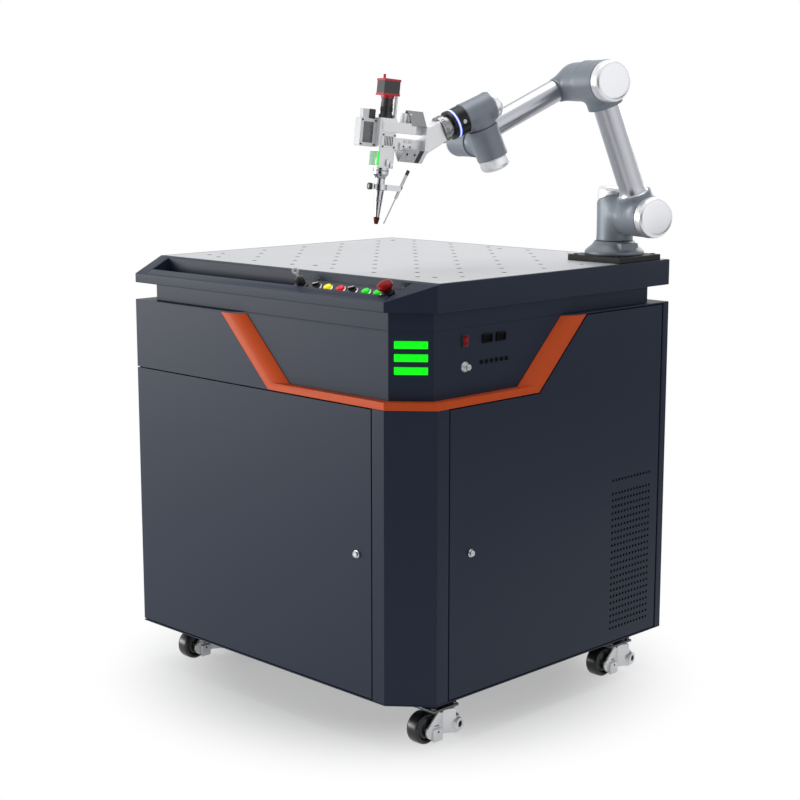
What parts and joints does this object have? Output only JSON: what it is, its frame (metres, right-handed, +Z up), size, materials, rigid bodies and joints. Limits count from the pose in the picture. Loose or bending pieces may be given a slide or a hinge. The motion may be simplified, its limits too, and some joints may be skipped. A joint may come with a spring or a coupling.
{
  "type": "mobile robotic laser welding workstation",
  "caption": "Wheeled cabinet with two hinged doors, a perforated work table and a control tray, carrying a six-axis robot arm that holds a laser welding head.",
  "frame": {"origin": "on the floor under the middle of the cabinet", "axes": "+Z up, the front door faces -Y and the side door faces +X"},
  "size_m": [1.1008, 0.933, 1.5656],
  "materials": {
    "slate_paint": "satin powder coat",
    "orange_paint": "satin powder coat",
    "machined_plate": "ground",
    "black_oxide": "black oxide",
    "green_light": "lit diffuser",
    "red_plastic": "moulded",
    "black_plastic": "moulded",
    "button_lens": "lit lens",
    "bright_metal": "polished",
    "castor_alloy": "die cast",
    "wheel_nylon": "moulded",
    "arm_casting": "satin paint",
    "silver_cover": "satin silver paint",
    "satin_tube": "satin anodised",
    "blue_light": "lit diffuser",
    "steel_flange": "turned",
    "white_alloy": "satin anodised",
    "grey_alloy": "anodised",
    "black_alloy": "anodised",
    "red_alloy": "anodised"
  },
  "bodies": {
    "cabinet": {"cabinet_floor": "slate_paint", "corner_post": "slate_paint", "left_side_wall": "slate_paint", "rear_wall": "slate_paint", "side_rear_post": "slate_paint", "cabinet_deck": "slate_paint", "front_upper_panel": "slate_paint", "accent_trim": "orange_paint", "control_fascia": "slate_paint", "neck": "slate_paint", "top_frame": "slate_paint", "table_plate": "machined_plate", "robot_riser_plate": "black_oxide", "status_light_bars": "green_light", "power_rocker": "red_plastic", "key_knob": "bright_metal", "fascia_sockets": "black_plastic", "tray_push_buttons": "button_lens", "tray_switches": "black_plastic", "emergency_stop": "red_plastic", "caster_plates": "castor_alloy", "arm_base": "arm_casting"},
    "front_door": {"front_door": "slate_paint", "front_door_lock": "bright_metal"},
    "side_door": {"side_door": "slate_paint", "side_door_lock": "bright_metal"},
    "shoulder": {"shoulder_housing": "arm_casting", "shoulder_cap": "silver_cover"},
    "upper_arm": {"upper_arm_shoulder_housing": "arm_casting", "upper_arm_tube": "satin_tube", "upper_arm_elbow_housing": "arm_casting", "upper_arm_caps": "silver_cover"},
    "forearm": {"forearm_elbow_housing": "arm_casting", "forearm_tube": "satin_tube", "forearm_wrist_housing": "arm_casting", "forearm_cap": "silver_cover"},
    "wrist_1": {"wrist_1_housing": "arm_casting", "wrist_1_cap": "silver_cover"},
    "wrist_2": {"wrist_2_housing": "arm_casting", "wrist_2_cap": "silver_cover", "status_collar": "black_plastic", "light_ring": "blue_light"},
    "laser_head": {"tool_flange": "steel_flange", "tool_adapter": "white_alloy", "head_bracket": "white_alloy", "bracket_cheeks": "grey_alloy", "head_body": "white_alloy", "lens_drawer": "grey_alloy", "camera_body": "black_alloy", "camera_plates": "red_alloy", "nozzle": "bright_metal", "wire_guide": "bright_metal"},
    "caster_front_left": {"caster_fork_front_left": "castor_alloy"},
    "wheel_front_left": {"caster_wheel_front_left": "wheel_nylon"},
    "caster_front_right": {"caster_fork_front_right": "castor_alloy"},
    "wheel_front_right": {"caster_wheel_front_right": "wheel_nylon"},
    "caster_rear_left": {"caster_fork_rear_left": "castor_alloy"},
    "wheel_rear_left": {"caster_wheel_rear_left": "wheel_nylon"},
    "caster_rear_right": {"caster_fork_rear_right": "castor_alloy"},
    "wheel_rear_right": {"caster_wheel_rear_right": "wheel_nylon"}
  },
  "joints": [
    {"name": "arm_turn", "type": "hinge", "parent": "cabinet", "child": "shoulder", "pos_m": [0.414, 0.345, 1.091], "axis": [0, 0, 1], "range_deg": [-175, 175]},
    {"name": "shoulder_lift", "type": "hinge", "parent": "shoulder", "child": "upper_arm", "pos_m": [0.414, 0.345, 1.192], "axis": [-0.9455, 0.3256, 0], "range_deg": [-5, 80]},
    {"name": "elbow_bend", "type": "hinge", "parent": "upper_arm", "child": "forearm", "pos_m": [0.37156, 0.22174, 1.51466], "axis": [-0.9455, 0.3256, 0], "range_deg": [-8, 110]},
    {"name": "wrist_tilt", "type": "hinge", "parent": "forearm", "child": "wrist_1", "pos_m": [0.27792, -0.0502, 1.37438], "axis": [-0.9455, 0.3256, 0], "range_deg": [-12, 100]},
    {"name": "wrist_swing", "type": "hinge", "parent": "wrist_1", "child": "wrist_2", "pos_m": [0.36491, -0.08016, 1.37438], "axis": [-0.1272, -0.3694, 0.9205], "range_deg": [-60, 60]},
    {"name": "tool_roll", "type": "hinge", "parent": "wrist_2", "child": "laser_head", "pos_m": [0.35549, -0.1075, 1.4425], "axis": [-0.2997, -0.8704, -0.3907], "range_deg": [-175, 175]},
    {"name": "front_door_swing", "type": "hinge", "parent": "cabinet", "child": "front_door", "pos_m": [-0.493, -0.4555, 0.54], "axis": [0, 0, -1], "range_deg": [0, 110]},
    {"name": "side_door_swing", "type": "hinge", "parent": "cabinet", "child": "side_door", "pos_m": [0.493, 0.4285, 0.54], "axis": [0, 0, 1], "range_deg": [0, 110]},
    {"name": "swivel_front_left", "type": "hinge", "parent": "cabinet", "child": "caster_front_left", "pos_m": [-0.43, -0.322, 0.101], "axis": [0, 0, 1], "continuous": true},
    {"name": "roll_front_left", "type": "hinge", "parent": "caster_front_left", "child": "wheel_front_left", "pos_m": [-0.43, -0.358, 0.038], "axis": [1, 0, 0], "continuous": true},
    {"name": "swivel_front_right", "type": "hinge", "parent": "cabinet", "child": "caster_front_right", "pos_m": [0.43, -0.322, 0.101], "axis": [0, 0, 1], "continuous": true},
    {"name": "roll_front_right", "type": "hinge", "parent": "caster_front_right", "child": "wheel_front_right", "pos_m": [0.43, -0.358, 0.038], "axis": [1, 0, 0], "continuous": true},
    {"name": "swivel_rear_left", "type": "hinge", "parent": "cabinet", "child": "caster_rear_left", "pos_m": [-0.43, 0.338, 0.101], "axis": [0, 0, 1], "continuous": true},
    {"name": "roll_rear_left", "type": "hinge", "parent": "caster_rear_left", "child": "wheel_rear_left", "pos_m": [-0.43, 0.302, 0.038], "axis": [1, 0, 0], "continuous": true},
    {"name": "swivel_rear_right", "type": "hinge", "parent": "cabinet", "child": "caster_rear_right", "pos_m": [0.43, 0.338, 0.101], "axis": [0, 0, 1], "continuous": true},
    {"name": "roll_rear_right", "type": "hinge", "parent": "caster_rear_right", "child": "wheel_rear_right", "pos_m": [0.43, 0.302, 0.038], "axis": [1, 0, 0], "continuous": true}
  ]
}
